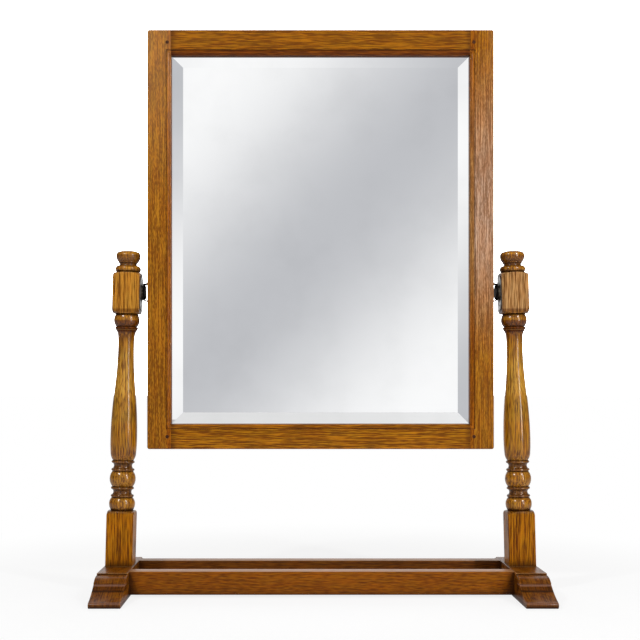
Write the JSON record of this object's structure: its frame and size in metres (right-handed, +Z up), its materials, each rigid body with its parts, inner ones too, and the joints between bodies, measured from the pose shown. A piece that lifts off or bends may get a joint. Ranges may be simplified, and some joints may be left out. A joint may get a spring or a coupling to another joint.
{
  "type": "table-top swing mirror",
  "caption": "Table-top swing mirror: a bevelled glass in a pegged oak frame, hung between turned posts on moulded feet joined by stretchers.",
  "frame": {"origin": "on the floor at the centre of the object", "axes": "+Z up, +X along the width to the viewer's right, the glass faces -Y"},
  "size_m": [0.5362, 0.254, 0.696],
  "materials": {
    "oak": "satin",
    "peg_oak": "satin",
    "pine": "matte",
    "mirror": "polished",
    "steel": "satin",
    "dark_steel": "satin",
    "brass": "satin"
  },
  "bodies": {
    "stand": {"foot_left": "oak", "foot_right": "oak", "post_left": "oak", "post_right": "oak", "stretcher_front": "oak", "stretcher_rear": "oak", "pivot_plate_left": "steel", "pivot_plate_right": "steel", "pivot_cup_left": "brass", "pivot_cup_right": "brass", "plate_screws": "steel"},
    "mirror": {"stile_left": "oak", "stile_right": "oak", "rail_top": "oak", "rail_bottom": "oak", "frame_pegs": "peg_oak", "mirror_glass": "mirror", "glazing_blocks": "pine", "backboard": "pine", "backboard_screws": "brass", "bracket_screws": "steel", "pivot_bracket_left": "steel", "pivot_stud_left": "dark_steel", "pivot_bracket_right": "steel", "pivot_stud_right": "dark_steel"}
  },
  "joints": [
    {"name": "mirror_tilt", "type": "hinge", "parent": "stand", "child": "mirror", "pos_m": [0, 0, 0.371], "axis": [1, 0, 0], "continuous": true}
  ]
}
